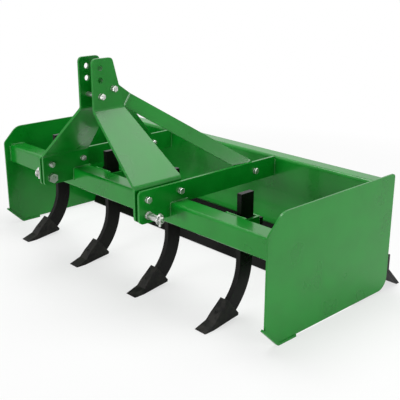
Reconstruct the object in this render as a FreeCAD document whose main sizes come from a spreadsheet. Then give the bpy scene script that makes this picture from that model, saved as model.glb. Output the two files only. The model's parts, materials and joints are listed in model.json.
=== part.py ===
import FreeCAD, Part
import math
import os
import Sketcher

# Three-point-hitch box blade with four height-adjustable ripper shanks.
# Millimetres. X runs across the implement: left is -X and right is +X, as seen from the tractor
# looking back. Y runs to the rear and Z up from the ground that the skids and rear edge stand on.
# Every drawing measures Y from the front edge of the end plates; each piece's Placement then moves
# it so that Y = 0 is the middle of the implement's length.

doc = FreeCAD.newDocument("BoxBlade")
sheet = doc.addObject("Spreadsheet::Sheet", "Dims")
Vec = FreeCAD.Vector

DIMS = [
    # name, value in millimetres or degrees
    # end plates and skid bars
    ("box_width", 1524.0),
    ("plate_thick", 6.35),
    ("plate_depth", 645.0),
    ("plate_height", 437.0),
    ("plate_chamfer", 63.0),
    ("plate_nose_round", 20.0),
    ("plate_top_round", 60.0),
    ("plate_rear_round", 14.0),
    ("plate_heel_round", 45.0),
    ("skid_thick", 8.0),
    ("skid_width", 12.0),
    ("skid_ramp", 60.0),
    ("skid_reach", 146.0),
    ("skid_overhang", 6.0),
    ("skid_round", 12.0),
    # toolbar
    ("tube_size", 76.2),
    ("tube_wall", 6.35),
    ("tube_round", 9.5),
    ("tube_front", 25.6),
    ("tube_base", 282.4),
    # hitch plates
    ("hitch_spread", 604.0),
    ("hitch_thick", 9.5),
    ("hitch_nose", 106.0),
    ("nose_base", 312.0),
    ("nose_round", 15.0),
    ("arm_base", 350.0),
    ("box_top", 424.0),
    # mast legs
    ("leg_gap", 12.7),
    ("leg_thick", 9.5),
    ("leg_base", 314.0),
    ("leg_bend", 14.0),
    ("mast_spread", 86.4),
    ("mast_top", 818.0),
    ("mast_front", 84.0),
    ("mast_rear", 2.0),
    ("mast_round", 16.0),
    ("upper_bend_z", 645.0),
    ("lower_bend_z", 431.0),
    ("leg_rear", 96.0),
    ("leg_rear_z", 440.0),
    # hitch and mast pins
    ("pin_dia", 22.2),
    ("pin_fit", 0.2),
    ("pin_y", -71.5),
    ("pin_z", 339.6),
    ("pin_reach", 74.0),
    ("pin_head", 33.0),
    ("pin_head_thick", 14.0),
    ("pin_chamfer", 3.0),
    ("pin_collar", 6.0),
    ("pin_step", 3.0),
    ("lynch_inset", 13.0),
    ("lynch_dia", 9.5),
    ("lynch_fit", 0.3),
    ("lynch_below", 12.0),
    ("lynch_above", 9.0),
    ("lynch_ring", 15.5),
    ("lynch_wire", 2.2),
    ("link_hole", 19.8),
    ("link_y", -53.4),
    ("link_upper_z", 786.7),
    ("link_lower_z", 745.4),
    ("cross_pin_dia", 15.9),
    ("cross_pin_z", 690.6),
    ("cross_pin_reach", 16.0),
    ("cross_head", 24.0),
    ("cross_head_thick", 9.0),
    ("brace_bolt_y", -1.2),
    ("brace_bolt_z", 712.0),
    # brace straps
    ("strap_width", 50.8),
    ("strap_thick", 9.5),
    ("strap_flat", 78.0),
    ("strap_foot", 36.0),
    ("strap_end", 26.0),
    ("strap_bend", 25.0),
    ("brace_foot_y", 440.0),
    ("brace_foot_z", 388.0),
    # spacers between legs and hitch plates
    ("spacer_dia", 32.0),
    ("spacer_z", 392.0),
    ("spacer_front_y", -71.0),
    ("spacer_rear_y", 71.5),
    # moldboard, back sheet and cutting edges
    ("sheet_thick", 6.35),
    ("mold_face", 548.0),
    ("mold_curve", 320.0),
    ("mold_bend", 12.0),
    ("mold_hem", 26.0),
    ("flange_back", 600.0),
    ("back_kink", 160.0),
    ("back_base", 80.0),
    ("rib_rise", 8.0),
    ("rib_thick", 6.35),
    ("edge_thick", 12.7),
    ("edge_lean", 70.0),
    ("front_edge_y", 450.0),
    ("front_edge_z", 3.0),
    ("front_edge_width", 177.8),
    ("rear_flange", 57.0),
    ("blade_reach", 90.0),
    # ripper shanks, their sockets and points
    ("shank_inset", 225.0),
    ("shank_thick", 19.05),
    ("shank_depth", 57.15),
    ("shank_top", 428.0),
    ("shank_bend_z", 199.0),
    ("shank_radius", 178.0),
    ("shank_turn", 47.0),
    ("nose_length", 51.0),
    ("nose_tip", 60.0),
    ("nose_drop", 12.0),
    ("nose_heel", 5.0),
    ("socket_wall", 9.5),
    ("socket_play", 0.7),
    ("socket_slack", 15.0),
    ("socket_height", 46.0),
    ("socket_z", 294.0),
    ("socket_round", 8.0),
    ("set_bolt_dia", 15.9),
    ("set_bolt_head", 24.0),
    ("set_bolt_head_thick", 11.0),
    ("set_bolt_neck", 9.0),
    ("set_bolt_play", 0.3),
    ("boot_width", 38.0),
    ("boot_flare", 30.0),
    ("boot_fit", 0.25),
    ("point_width", 49.0),
    ("point_reach", 69.0),
    ("point_rise", 29.0),
    ("point_bevel", 5.0),
    ("point_thick", 6.0),
    ("waist_reach", 22.0),
    ("waist_rise", 10.0),
    ("sole_reach", 39.0),
    ("sole_rise", -1.0),
    ("heel_run", 7.0),
    ("heel_wall", 12.0),
    ("mouth_wall", 8.0),
    ("lip_run", 6.0),
    ("brow_drop", 10.0),
    ("brow_wall", 11.0),
    ("brow_rise", 13.0),
]

ROOT2 = math.sqrt(2.0)


class Size:
    """A length together with the sheet expression that gives it."""

    def __init__(self, value, text):
        self.value = float(value)
        self.text = text

    def join(self, other, sign, turned=False):
        other = other if isinstance(other, Size) else Size(other, repr(float(other)))
        first, last = (other, self) if turned else (self, other)
        value = {
            "+": lambda a, b: a + b,
            "-": lambda a, b: a - b,
            "*": lambda a, b: a * b,
            "/": lambda a, b: a / b,
        }[sign](first.value, last.value)
        return Size(value, "(" + first.text + " " + sign + " " + last.text + ")")

    def __add__(self, other):
        return self.join(other, "+")

    def __radd__(self, other):
        return self.join(other, "+", True)

    def __sub__(self, other):
        return self.join(other, "-")

    def __rsub__(self, other):
        return self.join(other, "-", True)

    def __mul__(self, other):
        return self.join(other, "*")

    def __rmul__(self, other):
        return self.join(other, "*", True)

    def __truediv__(self, other):
        return self.join(other, "/")

    def __neg__(self):
        return self.join(-1.0, "*")


class Sizes:
    """The driving sizes by name."""


D = Sizes()
for row, (name, value) in enumerate(DIMS, start=1):
    sheet.set("A%d" % row, name)
    sheet.set("B%d" % row, str(value))
    sheet.setAlias("B%d" % row, name)
    setattr(D, name, Size(value, "Dims." + name))
doc.recompute()

ZERO = Size(0.0, "0")


def bind(target, prop, size):
    target.setExpression(prop, size.text)


# Places that several pieces share, all worked out from the sheet's sizes.
rear_reach = D.plate_depth + D.blade_reach
mid_y = (rear_reach - D.hitch_nose) / 2
inner_width = D.box_width - 2 * D.plate_thick
ramp_inner = D.skid_ramp + D.skid_thick * ROOT2
tube_top = D.tube_base + D.tube_size
tube_rear = D.tube_front + D.tube_size
hitch_outer = D.hitch_spread / 2
leg_outer = hitch_outer - D.hitch_thick - D.leg_gap
leg_inner = leg_outer - D.leg_thick
mast_outer = D.mast_spread / 2
mast_inner = mast_outer - D.leg_thick
shank_front = tube_rear + D.socket_wall + D.socket_play
shank_rear = shank_front + D.shank_depth
SIDES = [("left", -1), ("right", 1)]
SHANKS = [(1, -1.5), (2, -0.5), (3, 0.5), (4, 1.5)]
shank_pitch = (D.box_width - 2 * D.shank_inset) / 3


def set_place(piece, x, y, z):
    """Puts a piece at x, y, z of the drawings, with Y moved to the implement's middle."""
    bind(piece, "Placement.Base.x", x)
    bind(piece, "Placement.Base.y", y - mid_y)
    bind(piece, "Placement.Base.z", z)


def new_body(label):
    body = doc.addObject("PartDesign::Body", label)
    body.Label = label
    return body


def new_sketch(body, role, name):
    sketch = body.newObject("Sketcher::SketchObject", name)
    plane = [f for f in body.Origin.OriginFeatures if f.Role == role][0]
    sketch.AttachmentSupport = [(plane, "")]
    sketch.MapMode = "FlatFace"
    return sketch


def draw_polygon(sketch, corners):
    """Draws a closed polygon and ties each corner to the sheet."""
    lines = []
    for a, b in zip(corners, corners[1:] + corners[:1]):
        start = Vec(a[0].value, a[1].value, 0)
        end = Vec(b[0].value, b[1].value, 0)
        lines.append(sketch.addGeometry(Part.LineSegment(start, end), False))
    for here, after in zip(lines, lines[1:] + lines[:1]):
        sketch.addConstraint(Sketcher.Constraint("Coincident", here, 2, after, 1))
    for line, corner in zip(lines, corners):
        for kind, size in zip(("DistanceX", "DistanceY"), corner):
            index = sketch.addConstraint(Sketcher.Constraint(kind, -1, 1, line, 1, size.value))
            bind(sketch, "Constraints[%d]" % index, size)


def draw_circle(sketch, u, v, diameter):
    """Draws a circle and ties its centre and diameter to the sheet."""
    circle = Part.Circle(Vec(u.value, v.value, 0), Vec(0, 0, 1), diameter.value / 2)
    ring = sketch.addGeometry(circle, False)
    for kind, size in (("DistanceX", u), ("DistanceY", v)):
        index = sketch.addConstraint(Sketcher.Constraint(kind, -1, 1, ring, 3, size.value))
        bind(sketch, "Constraints[%d]" % index, size)
    index = sketch.addConstraint(Sketcher.Constraint("Diameter", ring, diameter.value))
    bind(sketch, "Constraints[%d]" % index, diameter)


def add_pad(body, sketch, length, name, centred=False, turned=False):
    pad = body.newObject("PartDesign::Pad", name)
    pad.Profile = sketch
    bind(pad, "Length", length)
    if centred:
        pad.SideType = "Symmetric"
    pad.Reversed = turned
    doc.recompute()
    return pad


def add_pocket(body, sketch, name, both=True, turned=False):
    """Cuts the sketch's outline right through, and checks that it removed something."""
    before = body.Shape.Volume
    pocket = body.newObject("PartDesign::Pocket", name)
    pocket.Profile = sketch
    pocket.Type = "ThroughAll"
    if both:
        pocket.SideType = "Symmetric"
    pocket.Reversed = turned
    doc.recompute()
    if not body.Shape.Volume < before:
        raise RuntimeError(body.Label + ": " + name + " cuts nothing")
    return pocket


def add_fillet(body, axes, spots, radius, name):
    """Rounds the straight edges that stand on the given corners of the drawing."""
    feature = body.Tip
    names = []
    for number, edge in enumerate(feature.Shape.Edges, start=1):
        if len(edge.Vertexes) != 2:
            continue
        ends = [(getattr(p.Point, axes[0]), getattr(p.Point, axes[1])) for p in edge.Vertexes]
        for u, v in spots:
            if all(math.hypot(e[0] - u.value, e[1] - v.value) < 0.01 for e in ends):
                names.append("Edge%d" % number)
    if len(names) < len(spots):
        raise RuntimeError(body.Label + ": " + name + " misses a corner")
    fillet = body.newObject("PartDesign::Fillet", name)
    fillet.Base = (feature, names)
    bind(fillet, "Radius", radius)
    doc.recompute()
    return fillet


def side_plate(label, corners, thick, rounds=(), holes=()):
    """A piece drawn from the side, in Y and Z, and as thick as given along X."""
    body = new_body(label)
    outline = new_sketch(body, "YZ_Plane", "Outline")
    draw_polygon(outline, corners)
    for y, z, diameter in holes:
        draw_circle(outline, y, z, diameter)
    add_pad(body, outline, thick, "Plate")
    for number, (radius, picks) in enumerate(rounds, start=1):
        add_fillet(body, ("y", "z"), [corners[k] for k in picks], radius, "Round%d" % number)
    return body


def degrees(size):
    return math.radians(size.value)


# End plates: flat, with a chamfered nose, and a skid bar welded along the lower front edge.
plate_corners = [
    (ZERO, ramp_inner),
    (ramp_inner - D.skid_thick, D.skid_thick),
    (D.plate_depth, D.skid_thick),
    (D.plate_depth, D.plate_height),
    (D.plate_chamfer, D.plate_height),
    (ZERO, D.plate_height - D.plate_chamfer),
]
plate_rounds = [
    (D.plate_heel_round, [2]),
    (D.plate_rear_round, [3]),
    (D.plate_top_round, [4]),
    (D.plate_nose_round, [5]),
]
skid_lift = D.skid_overhang + ramp_inner
skid_out = D.skid_thick / ROOT2
skid_corners = [
    (D.skid_ramp, ZERO),
    (D.skid_reach, ZERO),
    (D.skid_reach, D.skid_thick),
    (ramp_inner - D.skid_thick, D.skid_thick),
    (-D.skid_overhang, skid_lift),
    (-D.skid_overhang - skid_out, skid_lift - skid_out),
]
for side, sign in SIDES:
    plate = side_plate("end_plate_" + side, plate_corners, D.plate_thick, plate_rounds)
    inner_face = sign * inner_width / 2
    plate_x = inner_face if sign > 0 else inner_face - D.plate_thick
    set_place(plate, plate_x, ZERO, ZERO)
    skid = side_plate("skid_bar_" + side, skid_corners, D.skid_width, [(D.skid_round, [0])])
    set_place(skid, plate_x + D.plate_thick / 2 - D.skid_width / 2, ZERO, ZERO)

# Toolbar: a square tube from one end plate to the other.
toolbar = new_body("toolbar")
section = new_sketch(toolbar, "YZ_Plane", "Section")
tube_outer = [
    (D.tube_front, D.tube_base),
    (tube_rear, D.tube_base),
    (tube_rear, tube_top),
    (D.tube_front, tube_top),
]
tube_inner = [
    (D.tube_front + D.tube_wall, D.tube_base + D.tube_wall),
    (tube_rear - D.tube_wall, D.tube_base + D.tube_wall),
    (tube_rear - D.tube_wall, tube_top - D.tube_wall),
    (D.tube_front + D.tube_wall, tube_top - D.tube_wall),
]
draw_polygon(section, tube_outer)
draw_polygon(section, tube_inner)
add_pad(toolbar, section, inner_width, "Tube")
add_fillet(toolbar, ("y", "z"), tube_outer, D.tube_round, "OuterRound")
set_place(toolbar, -inner_width / 2, ZERO, ZERO)

# Hitch plates: from the lower hitch pins over the toolbar back to the moldboard.
hitch_corners = [
    (-D.hitch_nose, D.nose_base),
    (D.tube_front, D.nose_base),
    (D.tube_front, tube_top),
    (tube_rear, tube_top),
    (tube_rear, D.arm_base),
    (D.mold_face, D.arm_base),
    (D.mold_face, D.box_top),
    (-D.hitch_nose, D.box_top),
]
pin_hole = D.pin_dia + D.pin_fit
for side, sign in SIDES:
    plate = side_plate(
        "hitch_plate_" + side,
        hitch_corners,
        D.hitch_thick,
        [(D.nose_round, [0, 7])],
        [(D.pin_y, D.pin_z, pin_hole)],
    )
    outer_face = sign * hitch_outer
    set_place(plate, outer_face - D.hitch_thick if sign > 0 else outer_face, ZERO, ZERO)

# Mast legs and feet: each leg is a bent plate that stands upright at the top link and leans
# outwards down to its foot. The foot is upright again, is welded to the toolbar beside the hitch
# plate, and meets the leg in the middle of the lower bend.
lean = math.atan2(
    leg_outer.value - mast_outer.value, D.upper_bend_z.value - D.lower_bend_z.value
)
mitre = D.leg_thick * math.tan(lean / 2)
leg_path = [
    (mast_outer, D.mast_top),
    (mast_outer, D.upper_bend_z),
    (leg_outer, D.lower_bend_z),
    (leg_outer, D.leg_base),
    (leg_inner, D.leg_base),
    (leg_inner, D.lower_bend_z - mitre),
    (mast_inner, D.upper_bend_z - mitre),
    (mast_inner, D.mast_top),
]
leg_side = [
    (-D.mast_front, D.mast_top),
    (-D.mast_rear, D.mast_top),
    (D.leg_rear, D.leg_rear_z),
    (D.leg_rear, D.lower_bend_z),
    (-D.hitch_nose, D.lower_bend_z),
    (-D.mast_front, D.upper_bend_z),
]
leg_holes = [
    (D.link_y, D.link_upper_z, D.link_hole),
    (D.link_y, D.link_lower_z, D.link_hole),
    (D.link_y, D.cross_pin_z, D.cross_pin_dia + D.pin_fit),
    (D.brace_bolt_y, D.brace_bolt_z, D.cross_pin_dia + D.pin_fit),
]
foot_side = [
    (-D.hitch_nose, D.lower_bend_z),
    (D.leg_rear, D.lower_bend_z),
    (D.leg_rear, tube_top),
    (D.tube_front, tube_top),
    (D.tube_front, D.leg_base),
    (-D.hitch_nose, D.leg_base),
]
foot_holes = [(D.pin_y, D.pin_z, pin_hole)]
leg_table = [
    # name, outline from the side, holes, radius of its rounded corners, which corners
    ("mast_leg_", leg_side, leg_holes, D.mast_round, leg_side[:2]),
    ("mast_foot_", foot_side, foot_holes, D.nose_round, foot_side[5:]),
]
trim = D.hitch_nose * 2
trim_box = [
    (-trim, -trim),
    (trim, -trim),
    (trim, D.mast_top + trim),
    (-trim, D.mast_top + trim),
]
for side, sign in SIDES:
    path = [(sign * x, z) for x, z in leg_path]
    for name, side_view, holes, radius, rounded in leg_table:
        leg = new_body(name + side)
        bend = new_sketch(leg, "XZ_Plane", "Bend")
        draw_polygon(bend, path)
        add_pad(leg, bend, D.hitch_nose * 3, "Sheet", centred=True)
        add_fillet(leg, ("x", "z"), [path[1], path[5]], D.leg_bend, "InnerBend")
        add_fillet(leg, ("x", "z"), [path[2], path[6]], D.leg_bend + D.leg_thick, "OuterBend")
        outline = new_sketch(leg, "YZ_Plane", "Outline")
        draw_polygon(outline, trim_box)
        draw_polygon(outline, side_view)
        for y, z, diameter in holes:
            draw_circle(outline, y, z, diameter)
        add_pocket(leg, outline, "Trim")
        add_fillet(leg, ("y", "z"), rounded, radius, "CornerRound")
        set_place(leg, ZERO, ZERO, ZERO)

# Spacers that keep each foot parallel to its hitch plate.
spacer_spots = [("front", D.spacer_front_y), ("rear", D.spacer_rear_y)]
for side, sign in SIDES:
    for place, spacer_y in spacer_spots:
        spacer = doc.addObject("Part::Cylinder", "leg_spacer_" + place + "_" + side)
        spacer.Label = "leg_spacer_" + place + "_" + side
        bind(spacer, "Radius", D.spacer_dia / 2)
        bind(spacer, "Height", D.leg_gap)
        spacer.Placement.Rotation = FreeCAD.Rotation(Vec(0, 1, 0), 90)
        start = leg_outer if sign > 0 else -leg_outer - D.leg_gap
        set_place(spacer, start, spacer_y, D.spacer_z)


def turned_bar(label, profile):
    """A round piece turned about X: the profile is given as x and radius."""
    body = new_body(label)
    outline = new_sketch(body, "XZ_Plane", "Profile")
    draw_polygon(outline, profile)
    turn = body.newObject("PartDesign::Revolution", "Turn")
    turn.Profile = outline
    turn.ReferenceAxis = (outline, ["H_Axis"])
    turn.Angle = 360.0
    doc.recompute()
    return body


def add_hex(body, x, flats, thick, sign):
    """Adds a hexagon head across the X axis, from x outwards."""
    radius = flats / math.sqrt(3.0)
    head = new_sketch(body, "YZ_Plane", "Hexagon")
    head.AttachmentOffset = FreeCAD.Placement(Vec(0, 0, x.value), FreeCAD.Rotation())
    bind(head, "AttachmentOffset.Base.z", x)
    corners = []
    for k in range(6):
        angle = math.radians(60.0 * k + 30.0)
        corners.append((radius * math.cos(angle), radius * math.sin(angle)))
    draw_polygon(head, corners)
    add_pad(body, head, thick, "Head", turned=sign < 0)


# Lower hitch pins: hexagon head inside the foot, shaft through foot and hitch plate to the outside.
pin_radius = D.pin_dia / 2
grip = D.leg_thick + D.leg_gap + D.hitch_thick
pin_profile = [
    (ZERO, ZERO),
    (grip + D.pin_reach, ZERO),
    (grip + D.pin_reach, pin_radius - D.pin_chamfer),
    (grip + D.pin_reach - D.pin_chamfer, pin_radius),
    (grip + D.pin_collar, pin_radius),
    (grip + D.pin_collar, pin_radius + D.pin_step),
    (grip, pin_radius + D.pin_step),
    (grip, pin_radius),
    (ZERO, pin_radius),
]
lynch_x = grip + D.pin_reach - D.lynch_inset
lynch_hole = D.lynch_dia + D.lynch_fit
for side, sign in SIDES:
    pin = turned_bar("hitch_pin_" + side, [(sign * x, r) for x, r in pin_profile])
    add_hex(pin, ZERO, D.pin_head, D.pin_head_thick, -sign)
    cross = new_sketch(pin, "XY_Plane", "CrossHole")
    draw_circle(cross, sign * lynch_x, ZERO, lynch_hole)
    add_pocket(pin, cross, "LynchHole")
    set_place(pin, sign * leg_inner, D.pin_y, D.pin_z)

    stem = doc.addObject("Part::Cylinder", "lynch_stem_" + side)
    bind(stem, "Radius", D.lynch_dia / 2)
    bind(stem, "Height", D.pin_dia + D.lynch_below + D.lynch_above)
    ring = doc.addObject("Part::Torus", "lynch_ring_" + side)
    bind(ring, "Radius1", D.lynch_ring)
    bind(ring, "Radius2", D.lynch_wire)
    ring.Placement.Rotation = FreeCAD.Rotation(Vec(0, 1, 0), 90)
    bind(ring, "Placement.Base.z", D.lynch_below + D.pin_dia / 2)
    lynch = doc.addObject("Part::Fuse", "lynch_pin_" + side)
    lynch.Label = "lynch_pin_" + side
    lynch.Base = stem
    lynch.Tool = ring
    set_place(
        lynch,
        sign * (leg_inner + lynch_x),
        D.pin_y,
        D.pin_z - pin_radius - D.lynch_below,
    )

# Cross pin and brace bolt between the two mast plates, with a sleeve between the brace straps.
cross_radius = D.cross_pin_dia / 2
cross_profile = [
    (-mast_outer, ZERO),
    (mast_outer + D.cross_pin_reach, ZERO),
    (mast_outer + D.cross_pin_reach, cross_radius),
    (-mast_outer, cross_radius),
]
for label, y, z in [
    ("mast_pin", D.link_y, D.cross_pin_z),
    ("brace_bolt", D.brace_bolt_y, D.brace_bolt_z),
]:
    bar = turned_bar(label, cross_profile)
    add_hex(bar, -mast_outer, D.cross_head, D.cross_head_thick, -1)
    set_place(bar, ZERO, y, z)
sleeve_half = mast_inner - D.strap_thick
sleeve = turned_bar(
    "brace_sleeve",
    [
        (-sleeve_half, cross_radius + D.pin_fit),
        (sleeve_half, cross_radius + D.pin_fit),
        (sleeve_half, cross_radius + D.tube_wall),
        (-sleeve_half, cross_radius + D.tube_wall),
    ],
)
set_place(sleeve, ZERO, D.brace_bolt_y, D.brace_bolt_z)

# Brace straps: flat bar from the mast down to the rear of each hitch plate. Both ends are bent
# parallel to the plates that they are bolted to.
run_y = D.brace_foot_y.value - D.brace_bolt_y.value
run_z = D.brace_bolt_z.value - D.brace_foot_z.value
strap_run = Size(math.hypot(run_y, run_z), repr(math.hypot(run_y, run_z)))
strap_fall = math.degrees(math.atan2(run_z, run_y))
strap_shift = (hitch_outer - D.hitch_thick) - mast_inner
splay = math.atan2(
    strap_shift.value, strap_run.value - D.strap_flat.value - D.strap_foot.value
)
strap_mitre = D.strap_thick * math.tan(splay / 2)
strap_path = [
    (-D.strap_end, ZERO),
    (D.strap_flat, ZERO),
    (strap_run - D.strap_foot, strap_shift),
    (strap_run + D.strap_end, strap_shift),
    (strap_run + D.strap_end, strap_shift - D.strap_thick),
    (strap_run - D.strap_foot + strap_mitre, strap_shift - D.strap_thick),
    (D.strap_flat + strap_mitre, -D.strap_thick),
    (-D.strap_end, -D.strap_thick),
]
for side, sign in SIDES:
    strap = new_body("brace_strap_" + side)
    bend = new_sketch(strap, "XZ_Plane", "Bend")
    path = [(x, sign * z) for x, z in strap_path]
    draw_polygon(bend, path)
    add_pad(strap, bend, D.strap_width, "Bar", centred=True)
    add_fillet(strap, ("x", "z"), [path[1], path[5]], D.strap_bend, "InnerBend")
    add_fillet(strap, ("x", "z"), [path[2], path[6]], D.strap_bend + D.strap_thick, "OuterBend")
    drill = new_sketch(strap, "XY_Plane", "BoltHole")
    draw_circle(drill, ZERO, ZERO, D.cross_pin_dia + D.pin_fit)
    add_pocket(strap, drill, "BoltHole")
    half = D.strap_width / 2
    add_fillet(
        strap,
        ("x", "y"),
        [(x, y) for x in (-D.strap_end, strap_run + D.strap_end) for y in (half, -half)],
        half - D.pin_fit * 5,
        "EndRound",
    )
    # The bar's own X follows the fall of the brace and its own Z points across the implement.
    down = Vec(0, math.cos(math.radians(strap_fall)), -math.sin(math.radians(strap_fall)))
    across = Vec(1, 0, 0)
    strap.Placement.Rotation = FreeCAD.Rotation(down, across.cross(down), across, "XZY")
    set_place(strap, sign * mast_inner, D.brace_bolt_y, D.brace_bolt_z)

# Moldboard: top flange, upright face and a curved lower part that carries the front cutting edge.
edge_dir = (math.cos(degrees(D.edge_lean)), math.sin(degrees(D.edge_lean)))
run_up = edge_dir[1] / edge_dir[0]
seat_y = D.front_edge_y + D.edge_thick * edge_dir[1]
seat_z = D.front_edge_z - D.edge_thick * edge_dir[0]
knee_z = seat_z + (D.mold_face - seat_y) * run_up
rear_seat_y = seat_y + D.sheet_thick * edge_dir[1]
rear_seat_z = seat_z - D.sheet_thick * edge_dir[0]
mold_rear = D.mold_face + D.sheet_thick
rear_knee_z = rear_seat_z + (mold_rear - rear_seat_y) * run_up
hem = (D.mold_hem * edge_dir[0], D.mold_hem * edge_dir[1])
mold_corners = [
    (D.flange_back, D.box_top),
    (D.mold_face, D.box_top),
    (D.mold_face, knee_z),
    (seat_y + hem[0], seat_z + hem[1]),
    (rear_seat_y + hem[0], rear_seat_z + hem[1]),
    (mold_rear, rear_knee_z),
    (mold_rear, D.box_top - D.sheet_thick),
    (D.flange_back, D.box_top - D.sheet_thick),
]
moldboard = side_plate(
    "moldboard",
    mold_corners,
    inner_width,
    [
        (D.mold_curve, [2]),
        (D.mold_curve + D.sheet_thick, [5]),
        (D.mold_bend, [1]),
        (D.mold_bend - D.sheet_thick, [6]),
    ],
)
set_place(moldboard, -inner_width / 2, ZERO, ZERO)

# Back sheet: closes the box behind the moldboard and carries the rear cutting edge.
slope = math.atan2(
    D.plate_depth.value - D.flange_back.value, D.box_top.value - D.back_kink.value
)
sheet_slant = D.sheet_thick / math.cos(slope)
sheet_mitre = D.sheet_thick * math.tan(slope / 2)
sheet_inner = D.plate_depth - D.sheet_thick
back_corners = [
    (D.flange_back, D.box_top),
    (D.flange_back + sheet_slant, D.box_top),
    (D.plate_depth, D.back_kink),
    (D.plate_depth, D.back_base),
    (sheet_inner, D.back_base),
    (sheet_inner, D.back_kink - sheet_mitre),
]
back_sheet = side_plate("back_sheet", back_corners, inner_width)
set_place(back_sheet, -inner_width / 2, ZERO, ZERO)

# Ribs between the moldboard and the back sheet, in line with the hitch plates.
curve_tan = math.tan((math.pi / 2 - degrees(D.edge_lean)) / 2)
rib_base = rear_knee_z + (D.mold_curve + D.sheet_thick) * curve_tan + D.rib_rise
rib_corners = [
    (mold_rear, rib_base),
    (mold_rear, D.box_top - D.sheet_thick - D.mold_bend),
    (mold_rear + D.mold_bend, D.box_top - D.sheet_thick),
    (D.flange_back, D.box_top - D.sheet_thick),
    (sheet_inner, D.back_kink - sheet_mitre),
    (sheet_inner, D.back_base),
]
for side, sign in SIDES:
    rib = side_plate("rib_" + side, rib_corners, D.rib_thick)
    rib_x = sign * (hitch_outer - D.hitch_thick / 2) - D.rib_thick / 2
    set_place(rib, rib_x, ZERO, ZERO)

# Front cutting edge: a flat bar that leans back on the moldboard's lower part.
front_corners = [
    (D.front_edge_y, D.front_edge_z),
    (D.front_edge_y + D.edge_thick / edge_dir[1], D.front_edge_z),
    (
        seat_y + D.front_edge_width * edge_dir[0],
        seat_z + D.front_edge_width * edge_dir[1],
    ),
    (
        D.front_edge_y + D.front_edge_width * edge_dir[0],
        D.front_edge_z + D.front_edge_width * edge_dir[1],
    ),
]
front_edge = side_plate("front_cutting_edge", front_corners, inner_width)
set_place(front_edge, -inner_width / 2, ZERO, ZERO)

# Rear cutting edge: upright flange on the back sheet, blade bent 45 degrees down to the ground.
rear_face = D.plate_depth + D.edge_thick
rear_bend = rear_reach - rear_face
flange_top = rear_bend + D.rear_flange
blade_slant = D.edge_thick * ROOT2
rear_corners = [
    (D.plate_depth, flange_top),
    (rear_face, flange_top),
    (rear_face, rear_bend),
    (rear_reach, ZERO),
    (rear_reach - blade_slant, ZERO),
    (D.plate_depth, rear_reach - blade_slant - D.plate_depth),
]
rear_edge = side_plate("rear_cutting_edge", rear_corners, D.box_width)
set_place(rear_edge, -D.box_width / 2, ZERO, ZERO)

# Ripper shanks: flat bars in sockets behind the toolbar, curved forward, each with a cast point
# slipped over its nose.
turn = degrees(D.shank_turn)
outer_radius = D.shank_radius + D.shank_depth
bend_tan = math.tan(turn / 2)
centre_y = shank_front - D.shank_radius
tail_y = centre_y + outer_radius * math.cos(turn)
tail_z = D.shank_bend_z - outer_radius * math.sin(turn)
along = (-math.sin(turn), -math.cos(turn))
cross = (-math.cos(turn), math.sin(turn))


def nose_spot(run, rise):
    """A corner of the nose: run along the bar's end, rise across it from its rear edge."""
    return (
        tail_y + run * along[0] + rise * cross[0],
        tail_z + run * along[1] + rise * cross[1],
    )


nose_table = [
    # run along the nose, rise across it
    (D.nose_length, D.shank_depth),
    (D.nose_tip, D.shank_depth - D.nose_drop),
    (D.nose_heel, ZERO),
]
shank_corners = [
    (shank_front, D.shank_top),
    (shank_front, D.shank_bend_z - D.shank_radius * bend_tan),
] + [nose_spot(run, rise) for run, rise in nose_table] + [
    (shank_rear, D.shank_bend_z - outer_radius * bend_tan),
    (shank_rear, D.shank_top),
]
point_run = D.nose_tip + D.point_reach
point_top = D.shank_depth + D.point_rise
sole_run = D.nose_tip + D.sole_reach
sole_top = D.shank_depth + D.sole_rise
point_table = [
    # run along the nose, rise across it: outline of the cast point seen from the side
    (point_run, point_top),
    (point_run - D.point_bevel, point_top - D.point_thick),
    (sole_run, sole_top),
    (D.heel_run, -D.heel_wall),
    (ZERO, -D.mouth_wall),
    (-D.lip_run, D.shank_depth + D.brow_wall),
    (D.nose_tip - D.brow_drop, D.shank_depth + D.brow_rise),
    (D.nose_tip + D.waist_reach, D.shank_depth + D.waist_rise),
]
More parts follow.
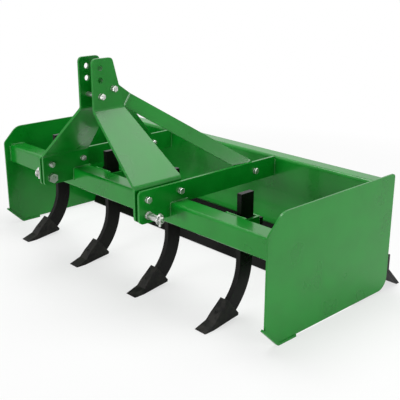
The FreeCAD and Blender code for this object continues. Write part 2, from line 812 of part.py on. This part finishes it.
for number, step in SHANKS:
    shank_x = step * shank_pitch
    shank = side_plate(
        "shank_%d" % number,
        shank_corners,
        D.shank_thick,
        [(D.shank_radius, [1]), (outer_radius, [5])],
    )
    set_place(shank, shank_x - D.shank_thick / 2, ZERO, ZERO)

    point = new_body("shank_point_%d" % number)
    outline = new_sketch(point, "YZ_Plane", "Outline")
    draw_polygon(outline, [(run, -rise) for run, rise in point_table])
    add_pad(point, outline, D.point_width, "Wedge", centred=True)
    plan = new_sketch(point, "XY_Plane", "Flare")
    for hand in (-1, 1):
        draw_polygon(
            plan,
            [
                (hand * D.boot_width / 2, -D.boot_width),
                (hand * D.boot_width / 2, D.boot_flare),
                (hand * D.point_width / 2, point_run),
                (hand * D.point_width, point_run),
                (hand * D.point_width, -D.boot_width),
            ],
        )
    add_pocket(point, plan, "FlareCut")
    socket_cut = new_sketch(point, "YZ_Plane", "Pocket")
    fit = D.boot_fit
    draw_polygon(
        socket_cut,
        [
            (-D.boot_width, -D.shank_depth - fit),
            (D.nose_length, -D.shank_depth - fit),
            (D.nose_tip + 2 * fit, -D.shank_depth + D.nose_drop - fit),
            (D.nose_heel + fit, fit),
            (-D.boot_width, fit),
        ],
    )
    hollow = point.newObject("PartDesign::Pocket", "NosePocket")
    hollow.Profile = socket_cut
    hollow.SideType = "Symmetric"
    bind(hollow, "Length", D.shank_thick + 2 * fit)
    doc.recompute()
    point.Placement.Rotation = FreeCAD.Rotation(Vec(1, 0, 0), 270.0 - D.shank_turn.value)
    set_place(point, shank_x, tail_y, tail_z)

    # Socket: a welded collar behind the toolbar, with a set bolt through its rear wall.
    collar = new_body("shank_socket_%d" % number)
    ring = new_sketch(collar, "XY_Plane", "Ring")
    half_in = D.shank_thick / 2 + D.socket_play
    half_out = half_in + D.socket_wall
    back_in = shank_rear + D.socket_slack
    back_out = back_in + D.socket_wall
    outer = [
        (-half_out, tube_rear),
        (half_out, tube_rear),
        (half_out, back_out),
        (-half_out, back_out),
    ]
    front_in = shank_front - D.socket_play
    draw_polygon(ring, outer)
    draw_polygon(
        ring,
        [(-half_in, front_in), (half_in, front_in), (half_in, back_in), (-half_in, back_in)],
    )
    add_pad(collar, ring, D.socket_height, "Collar")
    add_fillet(collar, ("x", "y"), outer[2:], D.socket_round, "Bend")
    drill = new_sketch(collar, "XZ_Plane", "BoltHole")
    bind(drill, "AttachmentOffset.Base.z", D.socket_play - back_in)
    draw_circle(drill, ZERO, D.socket_height / 2, D.set_bolt_dia + D.pin_fit)
    add_pocket(collar, drill, "BoltHole", both=False)
    set_place(collar, shank_x, ZERO, D.socket_z)

    stem = doc.addObject("Part::Cylinder", "set_stem_%d" % number)
    bind(stem, "Radius", D.set_bolt_dia / 2)
    bolt_start = shank_rear + D.set_bolt_play
    stem_length = back_out + D.set_bolt_neck - bolt_start
    bind(stem, "Height", stem_length)
    head = doc.addObject("Part::Box", "set_head_%d" % number)
    bind(head, "Length", D.set_bolt_head)
    bind(head, "Width", D.set_bolt_head)
    bind(head, "Height", D.set_bolt_head_thick)
    bind(head, "Placement.Base.x", -D.set_bolt_head / 2)
    bind(head, "Placement.Base.y", -D.set_bolt_head / 2)
    bind(head, "Placement.Base.z", stem_length)
    bolt = doc.addObject("Part::Fuse", "socket_bolt_%d" % number)
    bolt.Label = "socket_bolt_%d" % number
    bolt.Base = stem
    bolt.Tool = head
    bolt.Placement.Rotation = FreeCAD.Rotation(Vec(1, 0, 0), -90)
    set_place(bolt, shank_x, bolt_start, D.socket_z + D.socket_height / 2)

# Rebuild everything, check it and write one file per piece.
doc.recompute()
for item in doc.Objects:
    if "Invalid" in item.State or "Error" in item.State:
        raise RuntimeError("failed object: " + item.Label)

pieces = [item for item in doc.Objects if item.TypeId == "PartDesign::Body"]
helpers = ("set_stem", "set_head", "lynch_stem", "lynch_ring")
for item in doc.Objects:
    if item.TypeId in ("Part::Cylinder", "Part::Fuse") and not item.Label.startswith(helpers):
        pieces.append(item)

os.makedirs("parts", exist_ok=True)
for piece in pieces:
    shape = piece.Shape
    if shape.isNull() or not shape.isValid() or len(shape.Solids) != 1:
        raise RuntimeError("bad shape: " + piece.Label)
for piece in pieces:
    piece.Shape.exportStep("parts/" + piece.Label + ".step")
    print(piece.Label, round(piece.Shape.Volume / 1000.0, 1), "cm3")
print(len(pieces), "pieces")
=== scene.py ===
# %% [markdown]
# Box blade in the studio
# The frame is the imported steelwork: every plate, bar and hitch pin is already a solid in its place.
# This lesson adds what a fabricator adds after cutting: welds, bolts, roll pins, paint and plating.

# %% Load the frame
import bpy
import json
import math
import random
from mathutils import Matrix, Vector


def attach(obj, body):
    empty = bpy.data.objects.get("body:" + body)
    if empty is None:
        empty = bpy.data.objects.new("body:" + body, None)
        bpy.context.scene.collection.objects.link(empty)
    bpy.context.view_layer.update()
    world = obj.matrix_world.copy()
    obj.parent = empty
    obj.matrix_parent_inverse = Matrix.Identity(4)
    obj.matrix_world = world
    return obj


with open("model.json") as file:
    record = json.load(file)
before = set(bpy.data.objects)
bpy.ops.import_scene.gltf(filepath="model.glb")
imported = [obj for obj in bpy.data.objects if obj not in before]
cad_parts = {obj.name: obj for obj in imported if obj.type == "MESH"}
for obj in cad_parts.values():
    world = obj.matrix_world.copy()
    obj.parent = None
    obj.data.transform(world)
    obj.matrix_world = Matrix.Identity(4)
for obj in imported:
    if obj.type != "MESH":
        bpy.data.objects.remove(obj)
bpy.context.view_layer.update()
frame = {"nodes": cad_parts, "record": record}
random.seed(7)
print("frame loaded:", len(frame["nodes"]), "solids")

# %% [markdown]
# Sizes
# Lengths are in metres. Depth is measured from the front edge of the end plates, and the scene's
# Y from the middle of the part, so one function turns such a depth into Y.

# %% Sizes shared with the steelwork
MID = 0.3145
HITCH_OUTER = 0.302
HITCH_INNER = 0.2925
LEG_INNER = 0.2703
STRAP_INNER = 0.283
MAST_OUTER = 0.0432
END_INNER = 0.75565
END_OUTER = 0.762
TUBE_FRONT = 0.0256
TUBE_REAR = 0.1018
TUBE_BASE = 0.2824
TUBE_TOP = 0.3586
SHANK_X = (-0.537, -0.179, 0.179, 0.537)
SIDES = ((-1, "left"), (1, "right"))


def at(x, depth, z):
    return Vector((x, depth - MID, z))


print("shanks at", SHANK_X)


# %% [markdown]
# Camera
# The photograph was taken from the front right corner, from above the mast's height, with a short
# telephoto lens. The small shift only puts the picture's centre where the photographer had it.

# %% Camera
CAMERA_PLACE = (2.0772, -1.8174, 1.1579)
LOOKS_DOWN = 18.66
LOOKS_LEFT = 47.16
LENS = 66.69
SENSOR = 36.0
SHIFT = (0.0097, 0.0015)
camera_data = bpy.data.cameras.new("camera")
camera_data.lens = LENS
camera_data.sensor_width = SENSOR
camera_data.shift_x = SHIFT[0]
camera_data.shift_y = SHIFT[1]
camera = bpy.data.objects.new("camera", camera_data)
camera.location = CAMERA_PLACE
camera.rotation_euler = (math.radians(90 - LOOKS_DOWN), 0.0, math.radians(LOOKS_LEFT))
bpy.context.scene.collection.objects.link(camera)
bpy.context.scene.camera = camera
print("camera at", tuple(camera.location))


# %% [markdown]
# Materials
# Colours are written as the hex values that a paint chart gives, and one function turns them into
# the linear values that the shader works with. The others add nodes to a material: any node, a
# noise, a ramp of colours or greys, a bevel in the shading alone, and a bump.

# %% Colour and node helpers
def linear(text):
    channels = [int(text[k:k + 2], 16) / 255.0 for k in (1, 3, 5)]
    values = [c / 12.92 if c <= 0.04045 else ((c + 0.055) / 1.055) ** 2.4 for c in channels]
    return (values[0], values[1], values[2], 1.0)


def new_material(name):
    material = bpy.data.materials.new(name)
    material.use_nodes = True
    return material, material.node_tree.nodes["Principled BSDF"]


def add_node(material, kind, settings=None, links=None):
    """Adds a node, sets its sockets or properties, and links its inputs to other nodes' outputs."""
    node = material.node_tree.nodes.new(kind)
    for key, value in (settings or {}).items():
        if key in node.inputs:
            node.inputs[key].default_value = value
        else:
            setattr(node, key, value)
    for key, (source, output) in (links or {}).items():
        material.node_tree.links.new(source.outputs[output], node.inputs[key])
    return node


def grey(value):
    return (value, value, value, 1.0)


def add_noise(material, place, scale, detail, roughness=0.5):
    settings = {"Scale": scale, "Detail": detail, "Roughness": roughness}
    return add_node(material, "ShaderNodeTexNoise", settings, {"Vector": (place, "Object")})


def add_ramp(material, source, output, stops):
    ramp = add_node(material, "ShaderNodeValToRGB", None, {"Fac": (source, output)})
    elements = ramp.color_ramp.elements
    while len(elements) < len(stops):
        elements.new(0.5)
    for element, (place, colour) in zip(elements, stops):
        element.position = place
        element.color = colour
    return ramp


def add_edge(material, radius):
    """Rounds the sharp corners in the shading alone."""
    return add_node(material, "ShaderNodeBevel", {"samples": 4, "Radius": radius})


def add_bump(material, height, below, strength, distance):
    settings = {"Strength": strength, "Distance": distance}
    links = {"Height": (height, "Fac"), "Normal": (below, "Normal")}
    return add_node(material, "ShaderNodeBump", settings, links)


def connect(material, shader, tint, gloss, surface):
    links = material.node_tree.links
    links.new(tint.outputs["Color"], shader.inputs["Base Color"])
    links.new(gloss.outputs["Color"], shader.inputs["Roughness"])
    links.new(surface.outputs["Normal"], shader.inputs["Normal"])


# %% [markdown]
# Green enamel and black paint
# Sprayed enamel on hot-rolled plate: a saturated green under a thin glossy skin. The spray leaves
# an orange peel about 2 mm across, and the plate below is wavy over some 70 mm, so reflections
# wander. Sharp corners are rounded by the thickness of the paint, which a bevel in the shading
# shows. The shanks' black paint is the same recipe without the glossy skin, and with more peel.

# %% Paint
TINT_SCALE = 9.0
PEEL_SCALE = 500.0
WAVE_SCALE = 14.0


def make_paint(name, light, dark, roughness, coat, peel, specular):
    material, shader = new_material(name)
    place = add_node(material, "ShaderNodeTexCoord")
    cloud = add_noise(material, place, TINT_SCALE, 2.0)
    skin = add_noise(material, place, PEEL_SCALE, 2.0)
    waves = add_noise(material, place, WAVE_SCALE, 1.0)
    tint = add_ramp(material, cloud, "Fac", [(0.35, linear(dark)), (0.65, linear(light))])
    smooth = grey(roughness * 0.85)
    rough = grey(roughness * 1.15)
    gloss = add_ramp(material, cloud, "Fac", [(0.3, smooth), (0.7, rough)])
    edge = add_edge(material, 0.0012)
    sheet = add_bump(material, waves, edge, 0.25, 0.0008)
    surface = add_bump(material, skin, sheet, peel, 0.0002)
    connect(material, shader, tint, gloss, surface)
    shader.inputs["Specular IOR Level"].default_value = specular
    shader.inputs["Coat Weight"].default_value = coat
    shader.inputs["Coat Roughness"].default_value = 0.10
    return material


green_enamel = make_paint("green_enamel", "#037E1E", "#02761A", 0.30, 0.28, 0.012, 0.28)
satin_black = make_paint("satin_black_paint", "#0A0A08", "#060605", 0.28, 0.0, 0.25, 0.14)
print("paints:", green_enamel.name, satin_black.name)

# %% [markdown]
# Cast steel
# The ripper points are castings. Lumps some 20 mm across carry a grain of about 4 mm, and the thin
# black dip over them is rougher on the high spots, which are drawn greyer there as a painted
# highlight.

# %% Cast points
cast_steel, cast_shader = new_material("black_cast_steel")
cast_place = add_node(cast_steel, "ShaderNodeTexCoord")
cast_grain = add_noise(cast_steel, cast_place, 260.0, 4.0, 0.7)
cast_lumps = add_noise(cast_steel, cast_place, 45.0, 3.0)
# Painted highlight: the black dip is drawn greyer on the high spots of the lumps.
dip_with_painted_highlight = [(0.42, linear("#050504")), (0.62, linear("#23221F"))]
cast_tint_with_painted_highlight = add_ramp(cast_steel, cast_lumps, "Fac", dip_with_painted_highlight)
cast_gloss = add_ramp(cast_steel, cast_lumps, "Fac", [(0.30, grey(0.34)), (0.70, grey(0.62))])
cast_edge = add_edge(cast_steel, 0.0018)
cast_relief = add_bump(cast_steel, cast_lumps, cast_edge, 0.5, 0.0012)
cast_surface = add_bump(cast_steel, cast_grain, cast_relief, 0.5, 0.0004)
connect(cast_steel, cast_shader, cast_tint_with_painted_highlight, cast_gloss, cast_surface)
cast_shader.inputs["Specular IOR Level"].default_value = 0.22
print("casting:", cast_steel.name)

# %% [markdown]
# Zinc plating
# Bright zinc on bolts and pins: a pale metal, slightly cloudy from the bath, with soft reflections.

# %% Zinc
zinc_plate, zinc_shader = new_material("bright_zinc_plate")
zinc_place = add_node(zinc_plate, "ShaderNodeTexCoord")
zinc_cloud = add_noise(zinc_plate, zinc_place, 120.0, 3.0)
bath = [(0.3, linear("#B4B6B4")), (0.7, linear("#D6D6D2"))]
zinc_tint = add_ramp(zinc_plate, zinc_cloud, "Fac", bath)
zinc_gloss = add_ramp(zinc_plate, zinc_cloud, "Fac", [(0.3, grey(0.26)), (0.7, grey(0.42))])
zinc_edge = add_edge(zinc_plate, 0.0008)
connect(zinc_plate, zinc_shader, zinc_tint, zinc_gloss, zinc_edge)
zinc_shader.inputs["Metallic"].default_value = 1.0
print("plating:", zinc_plate.name)

# %% [markdown]
# Finishes
# The record gives each solid a slot, and the slot gives its finish. Two kinds differ: the points
# are cast, and the sockets' set bolts are shown in the shanks' black.

# %% Give every solid its finish
FINISHES = {"green_paint": green_enamel, "black_steel": satin_black, "zinc_hardware": zinc_plate}
slot_of = {row["node"]: row["material_slot"] for row in frame["record"]["subparts"]}
for name, solid in frame["nodes"].items():
    solid.data.materials.clear()
    finish = FINISHES[slot_of[name]]
    if name.startswith("shank_point"):
        finish = cast_steel
    if name.startswith("socket_bolt"):
        finish = satin_black
    solid.data.materials.append(finish)
print("finished solids:", len(slot_of))


# %% [markdown]
# Helpers for new pieces
# An operator acts on all that is selected, so everything is deselected before each new piece.

# %% Piece helpers
def clear_selection():
    bpy.ops.object.select_all(action="DESELECT")


def rest_in_mesh(piece):
    """Moves the object's place and turn into its mesh."""
    piece.data.transform(piece.matrix_world)
    piece.matrix_world = Matrix.Identity(4)


def join_pieces(pieces, name):
    clear_selection()
    for piece in pieces:
        piece.select_set(True)
    bpy.context.view_layer.objects.active = pieces[0]
    if len(pieces) > 1:
        bpy.ops.object.join()
    piece = bpy.context.view_layer.objects.active
    piece.name = name
    return piece


def finish_piece(piece, material, body="frame"):
    piece.data.materials.clear()
    piece.data.materials.append(material)
    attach(piece, body)


def turned_round(radius, thick, place, axis, sides, chamfer):
    """A disc or prism along an axis, starting at place, with chamfered rims."""
    clear_selection()
    direction = Vector(axis).normalized()
    centre = place + direction * thick / 2
    turn = direction.to_track_quat("Z", "Y").to_matrix().to_4x4()
    bpy.ops.mesh.primitive_cylinder_add(vertices=sides, radius=radius, depth=thick)
    piece = bpy.context.active_object
    piece.matrix_world = Matrix.Translation(centre) @ turn
    bpy.context.view_layer.update()
    rest_in_mesh(piece)
    bevel = piece.modifiers.new("chamfer", "BEVEL")
    bevel.width = chamfer
    bevel.segments = 2
    bevel.angle_limit = math.radians(50)
    bpy.ops.object.modifier_apply(modifier="chamfer")
    return piece


# %% [markdown]
# Bolts and nuts
# Half inch bolts hold the hitch plates, feet and braces: a hexagon head 20.5 mm across its flats
# outside, and a nut with a little of the thread showing inside. Each has a washer face below it.
# The thread's end stands 0.9 mm clear of the nut's face.

# %% Bolts and nuts
HEX_RADIUS = 0.0205 / math.sqrt(3.0)
HEX_START = 0.0011
WASHER_RADIUS = 0.0108
WASHER_THICK = 0.0012
BOLT_RADIUS = 0.0064
THREAD_OFFSET = 0.002
HEAD_THICK = 0.0100
NUT_THICK = 0.0105
MAST_NUT_THICK = 0.0125
THREAD_PROUD = 0.003


def bolt_end(place, axis, thick, proud):
    """A washer face, a hexagon and, where some thread is proud, the bolt's end past the nut."""
    direction = Vector(axis).normalized()
    rows = [turned_round(WASHER_RADIUS, WASHER_THICK, place, axis, 32, 0.0003)]
    rows.append(turned_round(HEX_RADIUS, thick, place + direction * HEX_START, axis, 6, 0.0014))
    if proud > 0:
        end = place + direction * (thick + THREAD_OFFSET)
        rows.append(turned_round(BOLT_RADIUS, proud, end, axis, 24, 0.0009))
    return rows


BOLT_SPOTS = [
    # name, depth, height, x of the face that the nut sits on
    ("front", -0.071, 0.392, LEG_INNER),
    ("rear", 0.0715, 0.392, LEG_INNER),
    ("brace", 0.440, 0.388, STRAP_INNER),
]
MAST_SPOTS = [
    # name, depth, height
    ("mast", -0.0534, 0.6906),
    ("brace_top", -0.0012, 0.712),
]
for side, label in SIDES:
    for name, depth, height, nut_x in BOLT_SPOTS:
        head_place = at(side * HITCH_OUTER, depth, height)
        nut_place = at(side * nut_x, depth, height)
        head = bolt_end(head_place, (side, 0, 0), HEAD_THICK, 0.0)
        nut = bolt_end(nut_place, (-side, 0, 0), NUT_THICK, THREAD_PROUD)
        bolt = join_pieces(head + nut, "bolt_" + name + "_" + label)
        finish_piece(bolt, zinc_plate)
for name, depth, height in MAST_SPOTS:
    nut = bolt_end(at(MAST_OUTER, depth, height), (1, 0, 0), MAST_NUT_THICK, 0.0)
    finish_piece(join_pieces(nut, "nut_" + name), zinc_plate)
print("bolts and nuts made")

# %% [markdown]
# Roll pins
# A sprung tube pin locks each cast point to its shank. Its end shows as a small dark ring on the
# point's front face, so a torus is turned to that face and rides with the shank.

# %% Roll pins
PIN_DEPTH = 0.0130
PIN_HEIGHT = 0.0468
PIN_AXIS = Vector((0.0, -0.682, 0.731))
PIN_RADIUS = 0.0042
PIN_WALL = 0.0013
turn = PIN_AXIS.to_track_quat("Z", "Y").to_matrix().to_4x4()
for number, shank_x in enumerate(SHANK_X, start=1):
    clear_selection()
    bpy.ops.mesh.primitive_torus_add(
        major_radius=PIN_RADIUS, minor_radius=PIN_WALL, major_segments=28, minor_segments=10,
    )
    pin = bpy.context.active_object
    pin.name = "roll_pin_%d" % number
    pin.matrix_world = Matrix.Translation(at(shank_x, PIN_DEPTH, PIN_HEIGHT)) @ turn
    bpy.context.view_layer.update()
    rest_in_mesh(pin)
    bpy.ops.object.shade_smooth()
    finish_piece(pin, satin_black, "shank_%d_body" % number)
print("roll pins made")

# %% [markdown]
# Weld beads
# A fillet weld is a row of small overlapping ripples, 3 to 5 mm apart, as the welder moves along
# the joint. One ripple is modelled from a sphere and repeated along each seam, a little uneven.

# %% One ripple
clear_selection()
bpy.ops.mesh.primitive_uv_sphere_add(segments=10, ring_count=6, radius=1.0)
ripple = bpy.context.active_object
bpy.ops.object.mode_set(mode="EDIT")
bpy.ops.mesh.select_all(action="SELECT")
bpy.ops.transform.resize(value=(1.0, 0.85, 1.0))
bpy.ops.object.mode_set(mode="OBJECT")
RIPPLE_POINTS = [vertex.co.copy() for vertex in ripple.data.vertices]
RIPPLE_FACES = [tuple(face.vertices) for face in ripple.data.polygons]
bpy.data.objects.remove(ripple)
print("ripple of", len(RIPPLE_FACES), "faces")


# %% A bead along its seams
def weld_bead(name, seams, radius=0.0038, pitch=0.0036):
    points = []
    faces = []
    for start, end in seams:
        run = end - start
        count = max(2, int(run.length / pitch))
        for step in range(count + 1):
            size = radius * random.uniform(0.88, 1.12)
            centre = start + run * (step / count)
            first = len(points)
            for point in RIPPLE_POINTS:
                points.append(centre + point * size)
            faces.extend(tuple(first + k for k in face) for face in RIPPLE_FACES)
    mesh = bpy.data.meshes.new(name)
    mesh.from_pydata([tuple(p) for p in points], [], faces)
    mesh.update()
    bead = bpy.data.objects.new(name, mesh)
    bpy.context.scene.collection.objects.link(bead)
    for face in mesh.polygons:
        face.use_smooth = True
    finish_piece(bead, green_enamel)


# %% [markdown]
# Where the welds run
# The toolbar is welded to the end plates, and the hitch plates and feet to the toolbar. Further
# back, the hitch plates and end plates meet the moldboard. Each skid has three short tacks, and
# each socket two upright seams and a longer, coarser one along the tube's upper rear edge.

# %% Seams
TUBE_STOP = 0.008
HITCH_STOP = 0.004
HITCH_LOW = 0.314
MOLD_FACE = 0.548
ARM_SEAM = (0.352, 0.412)
BOX_SEAMS = ((0.30, 0.34), (0.38, 0.41))
SKID_STARTS = (0.064, 0.100, 0.132)
SKID_LENGTH = 0.012
SKID_HEIGHT = 0.008
SKID_RADIUS = 0.0026
SOCKET_HALF = 0.0197
SOCKET_SEAM = (0.296, 0.338)
EDGE_LEFT = 0.044
EDGE_RIGHT = 0.040
EDGE_INSET = 0.002
EDGE_DROP = 0.003
EDGE_RADIUS = 0.0055
EDGE_PITCH = 0.0045


def upright(x, depth, low, high):
    return (at(x, depth, low), at(x, depth, high))


def along(x, front, rear, height):
    return (at(x, front, height), at(x, rear, height))


for side, label in SIDES:
    x = side * END_INNER
    tube = [
        upright(x, TUBE_FRONT, TUBE_BASE + TUBE_STOP, TUBE_TOP - TUBE_STOP),
        along(x, TUBE_FRONT + TUBE_STOP, TUBE_REAR - TUBE_STOP, TUBE_TOP),
        upright(x, TUBE_REAR, TUBE_BASE + TUBE_STOP, TUBE_TOP - TUBE_STOP),
    ]
    weld_bead("weld_tube_" + label, tube)
    hitch = []
    for face in (HITCH_OUTER, HITCH_INNER, LEG_INNER):
        hitch.append(upright(side * face, TUBE_FRONT, HITCH_LOW, TUBE_TOP - HITCH_STOP))
        hitch.append(along(side * face, TUBE_FRONT + HITCH_STOP, TUBE_REAR, TUBE_TOP))
    weld_bead("weld_hitch_" + label, hitch)
    arm = [upright(side * face, MOLD_FACE, *ARM_SEAM) for face in (HITCH_OUTER, HITCH_INNER)]
    weld_bead("weld_arm_" + label, arm)
    box = [upright(x, MOLD_FACE, *heights) for heights in BOX_SEAMS]
    weld_bead("weld_box_" + label, box)
    edge = side * END_OUTER
    skid = [along(edge, start, start + SKID_LENGTH, SKID_HEIGHT) for start in SKID_STARTS]
    weld_bead("weld_skid_" + label, skid, SKID_RADIUS)
for number, shank_x in enumerate(SHANK_X, start=1):
    seams = [upright(shank_x + gap, TUBE_REAR, *SOCKET_SEAM) for gap in (-SOCKET_HALF, SOCKET_HALF)]
    edge_left = at(shank_x - EDGE_LEFT, TUBE_REAR - EDGE_INSET, TUBE_TOP - EDGE_DROP)
    edge_right = at(shank_x + EDGE_RIGHT, TUBE_REAR - EDGE_INSET, TUBE_TOP - EDGE_DROP)
    weld_bead("weld_socket_%d" % number, seams)
    weld_bead("weld_tube_edge_%d" % number, [(edge_left, edge_right)], EDGE_RADIUS, EDGE_PITCH)
print("welds made")

# %% [markdown]
# Studio
# A white floor that runs out of the picture. To the camera it is part lit and part glowing, and
# glows fully from 2.4 m out, so that it reads white and keeps its shadows. To the paint, whose
# reflections are what the eye reads, it glows most in a ring about 1.7 m from the middle.

# %% Floor
FLOOR_SIZE = 40.0
FADE_FROM = 0.9
FADE_TO = 2.4
GLOW_NEAR = 0.66
GLOW_FAR = 1.0
MIRROR_REACH = 4.0
MIRROR_STOPS = [(0.22, grey(0.25)), (0.42, grey(1.0)), (0.75, grey(0.30))]
clear_selection()
bpy.ops.mesh.primitive_plane_add(size=FLOOR_SIZE, location=(0, 0, 0))
floor = bpy.context.active_object
floor.name = "studio_floor"
paper, paper_shader = new_material("white_paper")
paper_shader.inputs["Base Color"].default_value = linear("#F2F2F2")
paper_shader.inputs["Roughness"].default_value = 0.9
seen = add_node(paper, "ShaderNodeLightPath")
spot = add_node(paper, "ShaderNodeTexCoord")
reach = add_node(paper, "ShaderNodeVectorMath", {"operation": "LENGTH"}, {"Vector": (spot, "Object")})
seen_glow = add_node(
    paper, "ShaderNodeMapRange",
    {"From Min": FADE_FROM, "From Max": FADE_TO, "To Min": GLOW_NEAR, "To Max": GLOW_FAR},
    {"Value": (reach, "Value")},
)
mirrored_place = add_node(
    paper, "ShaderNodeMapRange", {"From Min": 0.0, "From Max": MIRROR_REACH},
    {"Value": (reach, "Value")},
)
mirrored_glow = add_ramp(paper, mirrored_place, "Result", MIRROR_STOPS)
seen_part = add_node(
    paper, "ShaderNodeMath", {"operation": "MULTIPLY"},
    {0: (seen, "Is Camera Ray"), 1: (seen_glow, "Result")},
)
mirrored_part = add_node(
    paper, "ShaderNodeMath", {"operation": "MULTIPLY"},
    {0: (seen, "Is Glossy Ray"), 1: (mirrored_glow, "Color")},
)
share = add_node(
    paper, "ShaderNodeMath", {"operation": "MAXIMUM"},
    {0: (seen_part, "Value"), 1: (mirrored_part, "Value")},
)
glow = add_node(paper, "ShaderNodeEmission", {"Strength": 1.0})
blend = add_node(paper, "ShaderNodeMixShader")
paper.node_tree.links.new(share.outputs["Value"], blend.inputs["Fac"])
paper.node_tree.links.new(paper_shader.outputs["BSDF"], blend.inputs[1])
paper.node_tree.links.new(glow.outputs["Emission"], blend.inputs[2])
output = paper.node_tree.nodes["Material Output"]
paper.node_tree.links.new(blend.outputs["Shader"], output.inputs["Surface"])
floor.data.materials.append(paper)
print("floor laid")


# %% [markdown]
# Light
# Four square lamps: a large one above, one from the right and one from the front, both low, and a
# weak one from above the rear. The world is white to the camera and in reflections, and dim as a
# light, so the lamps shape the part.

# %% Lamps and world
LAMPS = [
    # name, place, what it points at, size in metres, watts
    ("lamp_top", (-0.4, 0.2, 3.4), (0, 0, 0.2), 2.0, 90.0),
    ("lamp_right", (3.5, 0.2, 0.75), (0.7, 0, 0.25), 1.3, 47.0),
    ("lamp_front", (0.2, -3.6, 0.5), (0, 0, 0.3), 0.9, 62.0),
    ("lamp_back", (0.7, 1.6, 3.0), (0.1, -0.3, 0.5), 1.4, 20.0),
]
WORLD_LIGHT = 0.17
WORLD_SEEN = 1.0
for name, place, aim, size, power in LAMPS:
    data = bpy.data.lights.new(name, "AREA")
    data.shape = "SQUARE"
    data.size = size
    data.energy = power
    lamp = bpy.data.objects.new(name, data)
    lamp.location = place
    lamp.rotation_euler = (Vector(aim) - Vector(place)).to_track_quat("-Z", "Y").to_euler()
    bpy.context.scene.collection.objects.link(lamp)

world = bpy.data.worlds.new("studio_world")
world.use_nodes = True
nodes = world.node_tree.nodes
links = world.node_tree.links
backdrop = nodes["Background"]
backdrop.inputs["Color"].default_value = grey(1.0)
ray = nodes.new("ShaderNodeLightPath")
bright = nodes.new("ShaderNodeMath")
bright.operation = "MAXIMUM"
level = nodes.new("ShaderNodeMapRange")
level.inputs["To Min"].default_value = WORLD_LIGHT
level.inputs["To Max"].default_value = WORLD_SEEN
links.new(ray.outputs["Is Camera Ray"], bright.inputs[0])
links.new(ray.outputs["Is Glossy Ray"], bright.inputs[1])
links.new(bright.outputs["Value"], level.inputs["Value"])
links.new(level.outputs["Result"], backdrop.inputs["Strength"])
bpy.context.scene.world = world
bpy.context.scene.view_settings.view_transform = "Standard"
print("lamps lit:", len(LAMPS))
